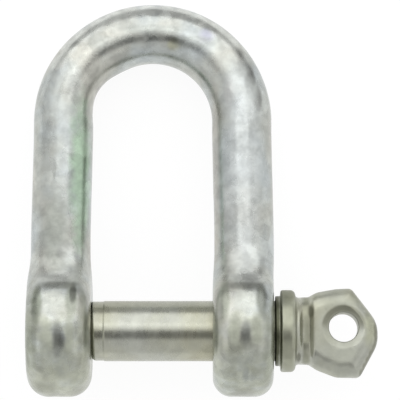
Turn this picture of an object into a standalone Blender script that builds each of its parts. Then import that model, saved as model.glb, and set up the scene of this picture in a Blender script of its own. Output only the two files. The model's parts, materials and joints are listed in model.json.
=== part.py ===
"""Screw pin chain shackle, commercial 10 mm pattern, hot dip galvanised.

Two pieces. The body is one forging: a round bar bent to a D, whose ends swell into two eyes. The
pin is a second forging: a shank that passes the plain eye and screws into the other one, with a
collar that seats on the plain eye and a flattened head with a hole for a marline spike.

The shackle lies the way it comes to rest, on the rims of both eyes and on the crown of the bow.
Metres. +X runs along the pin to its head, +Y to the crown, +Z up, and the origin is under the
middle of the part, on the surface that it lies on.
"""

import math

import bmesh
import bpy
import numpy as np
from mathutils import Vector

MM = 0.001

# Bow: the round bar and the D that it is bent to
BAR_DIAMETER = 10.0 * MM
JAW_WIDTH = 20.0 * MM  # clear width between the two eyes, where the pin crosses
BEND_HEIGHT = 34.95 * MM  # pin axis to the centre of the bend
LEG_SETBACK = 0.25 * MM  # how far the foot of a leg stands back from the jaw face of its eye
LEG_LEAN = 0.35 * MM  # how far a leg leans in from its foot to the bend
BEND_THINNING = 0.6 * MM  # how much thinner the bar is inside the bend, over the threaded eye
THINNING_ANGLE = math.radians(150)  # where on the bend it is thinnest
THINNING_REACH = math.radians(36)  # from there to full thickness

# Eyes
EYE_DIAMETER = 21.8 * MM
EYE_FILLET = 10.0 * MM  # forging fillet between the rim and the leg
SWELL_START = 6.8 * MM  # height over the pin axis up to which an eye keeps its flat faces
SWELL_END = 13.0 * MM  # height at which the section is the bar's
THREADED_EYE_THICKNESS = 10.7 * MM
THREADED_EYE_EDGE_RADIUS = 3.6 * MM  # rounding between a face of this eye and its rim
PLAIN_EYE_THICKNESS = 10.1 * MM
PLAIN_EYE_EDGE_RADIUS = 3.1 * MM  # the same on this one

# Fits between the pin and the eyes
HOLE_CLEARANCE = 0.4 * MM  # round the shank, in the plain eye
THREAD_CLEARANCE = 0.3 * MM  # round the threaded end, in the threaded eye
SEAT_GAP = 0.3 * MM  # between the pin's seat and the plain eye
PLAIN_BORE_CHAMFER = 0.2 * MM
THREADED_BORE_CHAMFER = 0.6 * MM

# Pin
PIN_DIAMETER = 10.0 * MM
THREAD_DEPTH = 0.55 * MM  # shank to the mean radius of the thread, where the end stands plain
THREAD_RUN_OUT = 1.9 * MM  # how far the threaded length reaches into the jaw
TIP_RECESS = 0.5 * MM  # how far the tip stays inside the threaded eye
TIP_CHAMFER = 0.9 * MM
SHOULDER_CHAMFER = 0.3 * MM
SEAT_OVERLAP = 0.2 * MM  # how far the seat reaches past the mouth of the plain bore
SEAT_WIDTH = 0.85 * MM
COLLAR_STEP = 1.0 * MM  # height of the collar over the seat
COLLAR_WIDTH = 2.45 * MM
COLLAR_EDGE_RADIUS = 0.7 * MM
NECK_DROP = 1.22 * MM  # how far the neck stands under the collar
NECK_LENGTH = 2.1 * MM
NECK_THICKNESS = 8.6 * MM  # across the flattened part of the neck
NECK_EDGE_RADIUS = 3.6 * MM
NECK_BLEND = 1.2 * MM  # length over which the round neck flattens

# Head: a flattened eye, lying in the plane of the bow
HEAD_THICKNESS = 5.8 * MM
HEAD_EDGE_RADIUS = 2.7 * MM
HEAD_STEP = 1.05 * MM  # length over which the neck drops to the flat
HEAD_LENGTH = 11.6 * MM  # end of the neck to the tip of the nose
HEAD_ROOT_TOP = (1.4 * MM, 6.4 * MM)  # start of the swelling on the crown side, from the neck's end
HEAD_SWELL_TOP = (4.6 * MM, 6.98 * MM)
HEAD_SHOULDER = (7.2 * MM, 7.1 * MM)  # corner on the crown side
HEAD_ROOT_BOTTOM = (1.4 * MM, -6.55 * MM)  # start of the swelling on the other side
HEAD_SWELL_BOTTOM = (4.6 * MM, -7.75 * MM)
HEAD_HEEL = (8.5 * MM, -7.85 * MM)  # corner on the other side
HEAD_CORNER_RADIUS = 1.2 * MM
HEAD_SWELL_RADIUS = 3.0 * MM
NECK_CORNER_RADIUS = 1.0 * MM
NOSE_TOP = 1.3 * MM  # ends of the blunt nose, from the pin axis
NOSE_BOTTOM = -2.2 * MM
NOSE_RADIUS = 5.0 * MM
SPIKE_HOLE_DIAMETER = 4.6 * MM
SPIKE_HOLE_MOUTH_RADIUS = 0.3 * MM
DISH_REACH = 1.25 * MM  # width of the shallow dish round each mouth
DISH_DEPTH = 0.32 * MM
SPIKE_HOLE_PLACE = (5.7 * MM, 0.46 * MM)  # centre, from the end of the neck

# Fineness of the surfaces
SECTION_POINTS = 40  # round each lofted section
TURNED_STEPS = 40  # round each turned form
OUTLINE_SAMPLES = 160  # on the finely drawn line that a section is read from
CORNER_SHARE = 0.55  # share of a section's points that goes by turning, the rest by length
CORNER_STEP = math.radians(15)
EYE_RINGS = 11  # rim to pin axis
SHOULDER_RINGS = 10  # pin axis to the foot of the leg
FOOT_RINGS = 4
LEG_RINGS = 4
BEND_RINGS = 22
NECK_RINGS = 4
HEAD_STEP_RINGS = 4
HEAD_RINGS = 15
MOUTH_STEPS = 3  # on the rounded mouth of the spike hole, and on the dish round it
END_FLAT = 0.05 * MM  # depth of the small flat that closes a loft at a round end
CUT_MARGIN = 2.0 * MM  # how far a cutter runs past what it cuts
MERGE_DISTANCE = 0.01 * MM
SHARP_ANGLE = math.radians(35)  # edges that turn more than this are shaded sharp

# Sizes that follow
BAR_RADIUS = BAR_DIAMETER / 2
JAW_HALF = JAW_WIDTH / 2
LEG_FOOT_OFFSET = JAW_HALF + LEG_SETBACK + BAR_RADIUS
BEND_RADIUS = LEG_FOOT_OFFSET - LEG_LEAN
EYE_RADIUS = EYE_DIAMETER / 2
PIN_RADIUS = PIN_DIAMETER / 2
THREADED_END_RADIUS = PIN_RADIUS - THREAD_DEPTH
PLAIN_BORE_RADIUS = PIN_RADIUS + HOLE_CLEARANCE
THREADED_BORE_RADIUS = THREADED_END_RADIUS + THREAD_CLEARANCE
SEAT_RADIUS = PLAIN_BORE_RADIUS + PLAIN_BORE_CHAMFER + SEAT_OVERLAP
COLLAR_RADIUS = SEAT_RADIUS + COLLAR_STEP
NECK_RADIUS = COLLAR_RADIUS - NECK_DROP

# The fillet circle touches the eye's rim and the side of the leg, seen along the pin
FILLET_SIDE = BAR_RADIUS + EYE_FILLET
FOOT_HEIGHT = math.sqrt((EYE_RADIUS + EYE_FILLET) ** 2 - FILLET_SIDE**2)
FILLET_ANGLE = math.atan2(FILLET_SIDE, FOOT_HEIGHT)
RIM_TOP = EYE_RADIUS * math.cos(FILLET_ANGLE)

# Places along the pin, from the face of its seat
SEAT_PLACE = JAW_HALF + PLAIN_EYE_THICKNESS + SEAT_GAP
TIP = -(SEAT_PLACE + JAW_HALF + THREADED_EYE_THICKNESS - TIP_RECESS)
SHOULDER = -(SEAT_PLACE + JAW_HALF - THREAD_RUN_OUT)
COLLAR_START = SEAT_WIDTH
COLLAR_END = COLLAR_START + COLLAR_WIDTH
NECK_END = COLLAR_END + NECK_LENGTH
NOSE_TIP = NECK_END + HEAD_LENGTH

# Lying pose: both eye rims and the crown touch the surface
CROWN_HEIGHT = BEND_HEIGHT + BEND_RADIUS
LYING_ANGLE = math.asin((EYE_RADIUS - BAR_RADIUS) / CROWN_HEIGHT)


def clear_scene():
    """Remove every object of the open scene."""
    for obj in list(bpy.data.objects):
        bpy.data.objects.remove(obj, do_unlink=True)


def smoothstep(low, high, value):
    """Rise smoothly from 0 at low to 1 at high."""
    share = min(max((value - low) / (high - low), 0.0), 1.0)
    return share * share * (3.0 - 2.0 * share)


def rounded_outline(corners):
    """Turn (x, y, radius) corners of an open outline into points, with an arc at each corner."""
    points = [corners[0][:2]]
    for before, corner, after in zip(corners, corners[1:], corners[2:]):
        place = Vector(corner[:2])
        back = (Vector(before[:2]) - place).normalized()
        ahead = (Vector(after[:2]) - place).normalized()
        half_angle = back.angle(ahead) / 2
        radius = corner[2]
        if radius == 0.0:
            points.append(tuple(place))
            continue
        centre = place + (back + ahead).normalized() * radius / math.sin(half_angle)
        start = place + back * radius / math.tan(half_angle) - centre
        turn = math.pi - 2 * half_angle
        if back.x * ahead.y - back.y * ahead.x > 0:
            turn = -turn
        steps = max(2, math.ceil(abs(turn) / CORNER_STEP))
        for step in range(steps + 1):
            angle = turn * step / steps
            x = start.x * math.cos(angle) - start.y * math.sin(angle)
            y = start.x * math.sin(angle) + start.y * math.cos(angle)
            points.append((centre.x + x, centre.y + y))
    points.append(corners[-1][:2])
    return points


def spread_points(line, count):
    """Pick count + 1 points on a finely drawn line, closer together where it turns."""
    line = np.array(line)
    apart = np.hypot(*np.diff(line, axis=0).T) > END_FLAT / OUTLINE_SAMPLES**2
    line = line[np.concatenate([[True], apart])]
    steps = np.diff(line, axis=0)
    lengths = np.hypot(steps[:, 0], steps[:, 1])
    headings = np.unwrap(np.arctan2(steps[:, 1], steps[:, 0]))
    turns = np.zeros(len(lengths))
    turns[1:] += np.abs(np.diff(headings)) / 2
    turns[:-1] += np.abs(np.diff(headings)) / 2
    weight = (1 - CORNER_SHARE) * lengths / lengths.sum() + CORNER_SHARE * turns / turns.sum()
    travelled = np.concatenate([[0.0], np.cumsum(weight)])
    marks = np.linspace(0.0, travelled[-1], count + 1)
    return [
        (float(np.interp(mark, travelled, line[:, 0])), float(np.interp(mark, travelled, line[:, 1])))
        for mark in marks
    ]


def edge_width(depth, half, edge_radius):
    """Half thickness of a plate with rounded edges, at a depth inside its outline."""
    depth = np.minimum(np.maximum(depth, 0.0), edge_radius)
    return half - edge_radius + np.sqrt(edge_radius**2 - (edge_radius - depth) ** 2)


def loft(name, rings):
    """Skin a list of rings with equally many points, and close both ends."""
    mesh = bpy.data.meshes.new(name)
    shape = bmesh.new()
    rows = [[shape.verts.new(point) for point in ring] for ring in rings]
    for row, following in zip(rows, rows[1:]):
        for index in range(len(row)):
            beside = (index + 1) % len(row)
            shape.faces.new((row[index], row[beside], following[beside], following[index]))
    shape.faces.new(reversed(rows[0]))
    shape.faces.new(rows[-1])
    bmesh.ops.recalc_face_normals(shape, faces=shape.faces)
    shape.to_mesh(mesh)
    shape.free()
    return bpy.data.objects.new(name, mesh)


def turned(name, profile, axis):
    """Turn a profile of (place along the axis, radius) points about the object's X or Z axis."""
    mesh = bpy.data.meshes.new(name)
    shape = bmesh.new()
    if axis == "X":
        places = [Vector((along, radius, 0.0)) for along, radius in profile]
    else:
        places = [Vector((radius, 0.0, along)) for along, radius in profile]
    corners = [shape.verts.new(place) for place in places]
    for corner, following in zip(corners, corners[1:]):
        shape.edges.new((corner, following))
    shape.to_mesh(mesh)
    shape.free()
    obj = bpy.data.objects.new(name, mesh)
    screw = obj.modifiers.new("turn", "SCREW")
    screw.axis = axis
    screw.steps = TURNED_STEPS
    screw.render_steps = TURNED_STEPS
    screw.use_merge_vertices = True
    screw.merge_threshold = MERGE_DISTANCE
    return bake(obj)


def bake(obj):
    """Give the object the mesh that its modifiers make, with every face outward."""
    linked = bpy.context.scene.collection.objects
    linked.link(obj)
    bpy.context.view_layer.update()
    made = obj.evaluated_get(bpy.context.evaluated_depsgraph_get())
    mesh = bpy.data.meshes.new_from_object(made)
    linked.unlink(obj)
    obj.modifiers.clear()
    shape = bmesh.new()
    shape.from_mesh(mesh)
    bmesh.ops.recalc_face_normals(shape, faces=shape.faces)
    shape.to_mesh(mesh)
    shape.free()
    mesh.name = obj.name
    obj.data = mesh
    return obj


def combine(obj, tool, operation):
    """Cut the tool from the object, or join it on, and remove the tool."""
    linked = bpy.context.scene.collection.objects
    linked.link(tool)
    boolean = obj.modifiers.new(tool.name, "BOOLEAN")
    boolean.object = tool
    boolean.operation = operation
    boolean.solver = "EXACT"
    bake(obj)
    bpy.data.objects.remove(tool)
    return obj


def side_edge(height):
    """Half width of the leg and eye, seen along the pin, at a height over the pin axis."""
    if height <= RIM_TOP:
        return math.sqrt(EYE_RADIUS**2 - height**2)
    if height < FOOT_HEIGHT:
        return FILLET_SIDE - math.sqrt(EYE_FILLET**2 - (FOOT_HEIGHT - height) ** 2)
    return BAR_RADIUS


def side_depth(height, side):
    """Depth of a point inside the outline of the leg and eye, seen along the pin."""
    if height >= FOOT_HEIGHT:
        return BAR_RADIUS - side
    if height > 0 and math.atan2(side, height) < FILLET_ANGLE:
        return math.hypot(FOOT_HEIGHT - height, FILLET_SIDE - side) - EYE_FILLET
    return EYE_RADIUS - math.hypot(height, side)


def leg_section(height, thickness, eye_edge):
    """Points round the eye or leg at one height, as (outward, across) from the section's middle."""
    to_bar = smoothstep(SWELL_START, SWELL_END, height)
    half = thickness / 2 + (BAR_RADIUS - thickness / 2) * to_bar
    eye_edge = min(eye_edge, thickness / 2)
    edge_radius = eye_edge + (BAR_RADIUS - eye_edge) * to_bar
    edge = side_edge(height)
    line = []
    for step in range(OUTLINE_SAMPLES + 1):
        side = edge * math.sin(math.pi / 2 * step / OUTLINE_SAMPLES)
        line.append((float(edge_width(side_depth(height, side), half, edge_radius)), side))
    line.append((0.0, edge))
    count = SECTION_POINTS // 4
    quarter = spread_points(line, count)
    section = list(quarter)
    section += [(-out, across) for out, across in quarter[-2::-1]]
    section += [(-out, -across) for out, across in quarter[1:]]
    section += [(out, -across) for out, across in quarter[-2:0:-1]]
    return section


def leg_heights():
    """Heights of the rings of one leg, from the bottom of the eye to just under the bend."""
    first = math.acos(1 - END_FLAT / EYE_RADIUS)
    heights = []
    for step in range(EYE_RINGS):
        angle = first + (math.pi / 2 - first) * step / EYE_RINGS
        heights.append(-EYE_RADIUS * math.cos(angle))
    stages = (
        (0.0, FOOT_HEIGHT, SHOULDER_RINGS),
        (FOOT_HEIGHT, FOOT_HEIGHT + BAR_RADIUS, FOOT_RINGS),
        (FOOT_HEIGHT + BAR_RADIUS, BEND_HEIGHT, LEG_RINGS),
    )
    for start, end, count in stages:
        heights += [start + (end - start) * step / count for step in range(count)]
    return heights


def leg_offset(height, thickness):
    """Distance from the middle of the bow to the middle of the leg or eye at one height."""
    eye = JAW_HALF + thickness / 2
    foot = smoothstep(SWELL_START, SWELL_END, height)
    lean = smoothstep(SWELL_END, BEND_HEIGHT, height)
    return eye + (LEG_FOOT_OFFSET - eye) * foot - LEG_LEAN * lean


def leg_rings(side, thickness, eye_edge):
    """Rings of one leg, upward; side is -1 for the threaded eye and 1 for the plain one."""
    rings = []
    for height in leg_heights():
        middle = leg_offset(height, thickness)
        section = leg_section(height, thickness, eye_edge)
        rings.append([(side * (middle + out), height, across * side) for out, across in section])
    return rings


def bend_rings():
    """Rings of the bend, from the leg of the threaded eye over the crown to the other leg."""
    section = leg_section(BEND_HEIGHT, BAR_DIAMETER, BAR_RADIUS)
    rings = []
    for step in range(BEND_RINGS + 1):
        angle = math.pi * (1 - step / BEND_RINGS)
        off_thinnest = min(abs(angle - THINNING_ANGLE) / THINNING_REACH, 1.0)
        thinning = BEND_THINNING * math.cos(math.pi / 2 * off_thinnest) ** 2
        ring = []
        for out, across in section:
            reach = BEND_RADIUS + out - thinning * min(out / BAR_RADIUS, 0.0)
            ring.append((reach * math.cos(angle), BEND_HEIGHT + reach * math.sin(angle), across))
        rings.append(ring)
    return rings


def bore_cutter(name, radius, chamfer, inner, outer):
    """Turned cutter for a bore along X between two faces, with a chamfered mouth at each."""
    reach = radius + chamfer + CUT_MARGIN
    profile = [
        (inner - CUT_MARGIN, 0.0),
        (inner - CUT_MARGIN, reach),
        (inner, radius + chamfer),
        (inner + chamfer, radius),
        (outer - chamfer, radius),
        (outer, radius + chamfer),
        (outer + CUT_MARGIN, reach),
        (outer + CUT_MARGIN, 0.0),
    ]
    return turned(name, profile, "X")


def make_body():
    """Forged body: eyes, legs and bend as one loft, with the two bores cut through the eyes."""
    threaded = leg_rings(-1, THREADED_EYE_THICKNESS, THREADED_EYE_EDGE_RADIUS)
    plain = leg_rings(1, PLAIN_EYE_THICKNESS, PLAIN_EYE_EDGE_RADIUS)
    flipped = [[(x, y, -z) for x, y, z in ring] for ring in threaded]
    body = loft("shackle_body", flipped + bend_rings() + plain[::-1])
    threaded_face = -JAW_HALF - THREADED_EYE_THICKNESS
    plain_face = JAW_HALF + PLAIN_EYE_THICKNESS
    combine(
        body,
        bore_cutter("threaded_bore", THREADED_BORE_RADIUS, THREADED_BORE_CHAMFER, threaded_face, -JAW_HALF),
        "DIFFERENCE",
    )
    combine(
        body,
        bore_cutter("plain_bore", PLAIN_BORE_RADIUS, PLAIN_BORE_CHAMFER, JAW_HALF, plain_face),
        "DIFFERENCE",
    )
    return body


def head_outline():
    """Outline of the flattened head in the plane of the bow, from the neck round the nose and back."""

    def from_neck(place, radius):
        """Corner at a place measured from the end of the neck."""
        return (NECK_END + place[0], place[1], radius)

    return rounded_outline(
        [
            (0.0, NECK_RADIUS, 0.0),
            (NECK_END, NECK_RADIUS, NECK_CORNER_RADIUS),
            from_neck(HEAD_ROOT_TOP, HEAD_SWELL_RADIUS),
            from_neck(HEAD_SWELL_TOP, HEAD_SWELL_RADIUS),
            from_neck(HEAD_SHOULDER, HEAD_CORNER_RADIUS),
            (NOSE_TIP, NOSE_TOP, NOSE_RADIUS),
            (NOSE_TIP, NOSE_BOTTOM, NOSE_RADIUS),
            from_neck(HEAD_HEEL, HEAD_CORNER_RADIUS),
            from_neck(HEAD_SWELL_BOTTOM, HEAD_SWELL_RADIUS),
            from_neck(HEAD_ROOT_BOTTOM, HEAD_SWELL_RADIUS),
            (NECK_END, -NECK_RADIUS, NECK_CORNER_RADIUS),
            (0.0, -NECK_RADIUS, 0.0),
        ]
    )


def outline_depth(outline, x, y):
    """Distance from points (x, y) to the nearest stretch of the outline."""
    start = np.array(outline[:-1])
    span = np.array(outline[1:]) - start
    point = np.stack([np.full_like(y, x), y], axis=1)[:, None, :]
    offset = point - start[None]
    share = np.clip((offset * span).sum(axis=2) / (span * span).sum(axis=1), 0.0, 1.0)
    gap = offset - share[..., None] * span
    return np.hypot(gap[..., 0], gap[..., 1]).min(axis=1)


def head_plate(x):
    """Half thickness and edge radius at a place: round at the collar, flattened in the head."""
    to_neck = smoothstep(COLLAR_END, COLLAR_END + NECK_BLEND, x)
    to_head = smoothstep(NECK_END, NECK_END + HEAD_STEP, x)
    half = NECK_RADIUS + (NECK_THICKNESS / 2 - NECK_RADIUS) * to_neck
    edge = NECK_RADIUS + (NECK_EDGE_RADIUS - NECK_RADIUS) * to_neck
    half += (HEAD_THICKNESS / 2 - half) * to_head
    edge += (HEAD_EDGE_RADIUS - edge) * to_head
    return half, min(edge, half)


def head_section(outline, x):
    """Ring of neck or head at one place along the pin."""
    crossings = []
    for (x0, y0), (x1, y1) in zip(outline, outline[1:]):
        if min(x0, x1) <= x < max(x0, x1):
            crossings.append(y0 + (y1 - y0) * (x - x0) / (x1 - x0))
    top, bottom = max(crossings), min(crossings)
    angles = np.linspace(0.0, math.pi, OUTLINE_SAMPLES)
    heights = (top + bottom) / 2 + (top - bottom) / 2 * np.cos(angles)
    depths = outline_depth(outline, x, heights)
    depths[[0, -1]] = 0.0
    faces = edge_width(depths, *head_plate(x))
    line = [(top, 0.0)] + list(zip(heights, faces)) + [(bottom, 0.0)]
    upper = spread_points(line, SECTION_POINTS // 2)
    return [(x, y, z) for y, z in upper] + [(x, y, -z) for y, z in upper[-2:0:-1]]


def make_head():
    """Head of the pin: a loft from the round neck over a step to the flat, and on to the nose."""
    outline = head_outline()
    flat_start = NECK_END + HEAD_STEP
    places = [(COLLAR_START + COLLAR_END) / 2]
    places += [COLLAR_END + NECK_BLEND * step / NECK_RINGS for step in range(NECK_RINGS + 1)]
    places += [NECK_END + HEAD_STEP * step / HEAD_STEP_RINGS for step in range(HEAD_STEP_RINGS)]
    reach = NOSE_TIP - END_FLAT - flat_start
    for step in range(HEAD_RINGS + 1):
        places.append(flat_start + reach * math.sin(math.pi / 2 * step / HEAD_RINGS))
    return loft("head", [head_section(outline, place) for place in places])


def spike_hole_cutter():
    """Turned cutter for the hole in the head, with a dish and a rounded edge at each mouth."""
    half = HEAD_THICKNESS / 2
    mouth_end = SPIKE_HOLE_DIAMETER / 2 + SPIKE_HOLE_MOUTH_RADIUS
    dish_end = mouth_end + DISH_REACH
    top = half + CUT_MARGIN
    upper = [(top, 0.0), (top, dish_end)]
    for step in range(MOUTH_STEPS):
        share = step / MOUTH_STEPS
        upper.append((half - DISH_DEPTH * share**2, dish_end - DISH_REACH * share))
    for step in range(1, MOUTH_STEPS + 1):
        angle = math.pi / 2 * step / MOUTH_STEPS
        depth = DISH_DEPTH + SPIKE_HOLE_MOUTH_RADIUS * (1 - math.cos(angle))
        upper.append((half - depth, mouth_end - SPIKE_HOLE_MOUTH_RADIUS * math.sin(angle)))
    profile = upper + [(-height, reach) for height, reach in upper[::-1]]
    cutter = turned("spike_hole", profile, "Z")
    cutter.location = (NECK_END + SPIKE_HOLE_PLACE[0], SPIKE_HOLE_PLACE[1], 0.0)
    return cutter


def pin_profile():
    """Profile of the turned length of the pin, from its tip to the back of the collar."""
    return rounded_outline(
        [
            (TIP, 0.0, 0.0),
            (TIP, THREADED_END_RADIUS - TIP_CHAMFER, 0.0),
            (TIP + TIP_CHAMFER, THREADED_END_RADIUS, 0.0),
            (SHOULDER, THREADED_END_RADIUS, 0.0),
            (SHOULDER, PIN_RADIUS - SHOULDER_CHAMFER, 0.0),
            (SHOULDER + SHOULDER_CHAMFER, PIN_RADIUS, 0.0),
            (0.0, PIN_RADIUS, 0.0),
            (0.0, SEAT_RADIUS, 0.0),
            (COLLAR_START, SEAT_RADIUS, 0.0),
            (COLLAR_START, COLLAR_RADIUS, COLLAR_EDGE_RADIUS),
            (COLLAR_END, COLLAR_RADIUS, COLLAR_EDGE_RADIUS),
            (COLLAR_END, 0.0, 0.0),
        ]
    )


def make_pin():
    """Screw pin: turned shank and collar, joined to the lofted head, with the hole cut through."""
    pin = turned("screw_pin", pin_profile(), "X")
    combine(pin, make_head(), "UNION")
    combine(pin, spike_hole_cutter(), "DIFFERENCE")
    return pin


def make_material(name, colour, roughness, metallic):
    """Principled material with one colour."""
    material = bpy.data.materials.new(name)
    material.use_nodes = True
    shader = material.node_tree.nodes["Principled BSDF"]
    shader.inputs["Base Color"].default_value = (*colour, 1.0)
    shader.inputs["Roughness"].default_value = roughness
    shader.inputs["Metallic"].default_value = metallic
    return material


def finish(obj, collection, parent, material):
    """Put a piece in the part's collection under its parent, shaded smooth, in its material."""
    collection.objects.link(obj)
    obj.parent = parent
    obj.data.materials.clear()
    obj.data.materials.append(material)
    obj.data.shade_smooth()
    obj.data.set_sharp_from_angle(angle=SHARP_ANGLE)


def lying_frame(collection):
    """Empty on the pin axis that lays the shackle down, with the part's box centred on the origin."""
    nose = SEAT_PLACE + NOSE_TIP
    threaded_face = -JAW_HALF - THREADED_EYE_THICKNESS
    crown = CROWN_HEIGHT * math.cos(LYING_ANGLE) + BAR_RADIUS
    frame = bpy.data.objects.new("lying_frame", None)
    frame.empty_display_size = EYE_RADIUS
    frame.location = (-(nose + threaded_face) / 2, -(crown - EYE_RADIUS) / 2, EYE_RADIUS)
    frame.rotation_euler = (-LYING_ANGLE, 0.0, 0.0)
    collection.objects.link(frame)
    return frame


def main():
    """Build the shackle body and its pin."""
    clear_scene()
    collection = bpy.data.collections.new("chain_shackle")
    bpy.context.scene.collection.children.link(collection)
    frame = lying_frame(collection)
    zinc = make_material("galvanised_forging", (0.55, 0.58, 0.54), 0.42, 0.9)
    pin_zinc = make_material("galvanised_pin", (0.52, 0.53, 0.44), 0.36, 0.9)
    finish(make_body(), collection, frame, zinc)
    pin = make_pin()
    pin.location = (SEAT_PLACE, 0.0, 0.0)
    finish(pin, collection, frame, pin_zinc)


main()
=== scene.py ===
"""Dressed galvanised screw pin chain shackle, lying on a pale floor.

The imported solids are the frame. Both pieces of the shackle are made again here from the same sizes,
finely enough for soft forged edges, the screw thread and the uneven zinc, and each takes the place
of its solid. Sizes are in millimetres in the shackle's own axes: X along the pin to its head, Y to
the crown of the bow, Z out of the plane of the bow. A piece's matrix lays it down and turns it to
metres of the frame.
"""

import json
import logging
import math
from dataclasses import dataclass, field
from enum import Enum

import bmesh
import bpy
import numpy as np
from mathutils import Matrix, Vector, noise

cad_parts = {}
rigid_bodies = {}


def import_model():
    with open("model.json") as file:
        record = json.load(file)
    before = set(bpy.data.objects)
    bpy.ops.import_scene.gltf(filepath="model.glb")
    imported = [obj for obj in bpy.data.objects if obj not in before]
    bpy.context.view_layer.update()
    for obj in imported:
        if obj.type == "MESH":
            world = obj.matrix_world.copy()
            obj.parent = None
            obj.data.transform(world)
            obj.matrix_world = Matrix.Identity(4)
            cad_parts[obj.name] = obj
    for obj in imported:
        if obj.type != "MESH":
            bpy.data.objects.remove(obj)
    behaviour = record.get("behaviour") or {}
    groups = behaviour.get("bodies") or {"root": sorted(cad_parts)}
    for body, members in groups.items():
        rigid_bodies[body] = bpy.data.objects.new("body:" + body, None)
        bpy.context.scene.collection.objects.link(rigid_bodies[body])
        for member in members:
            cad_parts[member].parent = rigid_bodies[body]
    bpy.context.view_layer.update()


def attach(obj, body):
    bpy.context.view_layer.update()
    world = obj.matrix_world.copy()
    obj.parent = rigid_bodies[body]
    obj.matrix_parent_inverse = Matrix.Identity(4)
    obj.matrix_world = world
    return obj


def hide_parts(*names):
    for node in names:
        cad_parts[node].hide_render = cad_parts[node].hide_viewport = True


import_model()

LOG = logging.getLogger("chain_shackle")
MM = 0.001
QUARTER = math.pi / 2
ARC_STEPS = 7  # points on the quarter arc of a rounded mouth
BORE_COLUMNS = 96  # points round a plain bore
NEAR_AXIS = 0.02  # radius of a tool's first ring, next to its axis
TOOL_REACH = 2.0  # how far a tool stands out of the solid that it cuts

Pair = tuple[float, float]
Triple = tuple[float, float, float]
Places = tuple[Triple, ...]
Piece = bpy.types.Object
Socket = bpy.types.NodeSocket


class Eye(Enum):
    """The two eyes of the bow, by the side of the jaw that they stand on."""

    THREADED = -1
    PLAIN = 1


class Cut(Enum):
    """How one solid is combined with another."""

    AWAY = "DIFFERENCE"
    TOGETHER = "UNION"


def smoothstep(low: float, high: float, value: np.ndarray | float) -> np.ndarray | float:
    """Rise smoothly from 0 to 1 between two values.

    Args:
        low: Value at which the rise starts.
        high: Value at which it ends.
        value: Where it is read.

    Returns:
        The share of the rise, from 0 to 1.
    """
    share = np.clip((value - low) / (high - low), 0.0, 1.0)
    return share * share * (3.0 - 2.0 * share)


def rounded_outline(corners: list[Triple], step: float = math.radians(5)) -> list[Pair]:
    """Draw an open outline with an arc at each of its corners.

    Args:
        corners: Corners as (x, y, radius of the arc).
        step: Turn from one point of an arc to the next.

    Returns:
        The points of the outline.
    """
    points = [corners[0][:2]]
    for before, corner, after in zip(corners, corners[1:], corners[2:]):
        place = Vector(corner[:2])
        back = (Vector(before[:2]) - place).normalized()
        ahead = (Vector(after[:2]) - place).normalized()
        radius = corner[2]
        if radius == 0.0:
            points.append(tuple(place))
            continue
        half_angle = back.angle(ahead) / 2
        centre = place + (back + ahead).normalized() * radius / math.sin(half_angle)
        start = place + back * radius / math.tan(half_angle) - centre
        turn = math.pi - 2 * half_angle
        if back.x * ahead.y - back.y * ahead.x > 0:
            turn = -turn
        steps = max(2, math.ceil(abs(turn) / step))
        for count in range(steps + 1):
            angle = turn * count / steps
            x = start.x * math.cos(angle) - start.y * math.sin(angle)
            y = start.x * math.sin(angle) + start.y * math.cos(angle)
            points.append((centre.x + x, centre.y + y))
    points.append(corners[-1][:2])
    return points


def spread_points(line: np.ndarray, count: int, corner_share: float = 0.5) -> np.ndarray:
    """Pick points on a finely drawn line, closer together where it turns.

    Args:
        line: Points of the line, one a row.
        count: Number of steps between the picked points.
        corner_share: Share of the points that goes by turning, the rest by length.

    Returns:
        The count + 1 picked points.
    """
    nearest = 1e-6
    line = line[np.concatenate([[True], np.hypot(*np.diff(line, axis=0).T) > nearest])]
    steps = np.diff(line, axis=0)
    lengths = np.hypot(steps[:, 0], steps[:, 1])
    bends = np.abs(np.diff(np.unwrap(np.arctan2(steps[:, 1], steps[:, 0])))) / 2
    turns = np.concatenate([[0.0], bends]) + np.concatenate([bends, [0.0]])
    weight = (1 - corner_share) * lengths / lengths.sum() + corner_share * turns / turns.sum()
    travelled = np.concatenate([[0.0], np.cumsum(weight)])
    marks = np.linspace(0.0, travelled[-1], count + 1)
    return np.stack([np.interp(marks, travelled, line[:, axis]) for axis in (0, 1)], axis=1)


def rounded_edge(depth: np.ndarray, half: float, radius: float) -> np.ndarray:
    """Give the half thickness of a plate with rounded edges.

    Args:
        depth: Depths inside the plate's outline.
        half: Half of the full thickness.
        radius: Radius of the rounding.

    Returns:
        The half thickness at each depth.
    """
    depth = np.clip(depth, 0.0, radius)
    return half - radius + np.sqrt(radius**2 - (radius - depth) ** 2)


def turned(along: np.ndarray, radius: np.ndarray, columns: int) -> np.ndarray:
    """Turn rings about the X axis.

    Args:
        along: Place of each ring.
        radius: Radius of each ring, or of each point of each ring.
        columns: Points round each ring.

    Returns:
        The rings, as rings by points by coordinates.
    """
    angles = np.linspace(0.0, 2 * math.pi, columns, endpoint=False)
    radius = radius.reshape(len(along), -1)
    along = np.repeat(along[:, None], columns, axis=1)
    return np.stack([along, radius * np.cos(angles), radius * np.sin(angles)], axis=2)


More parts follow.
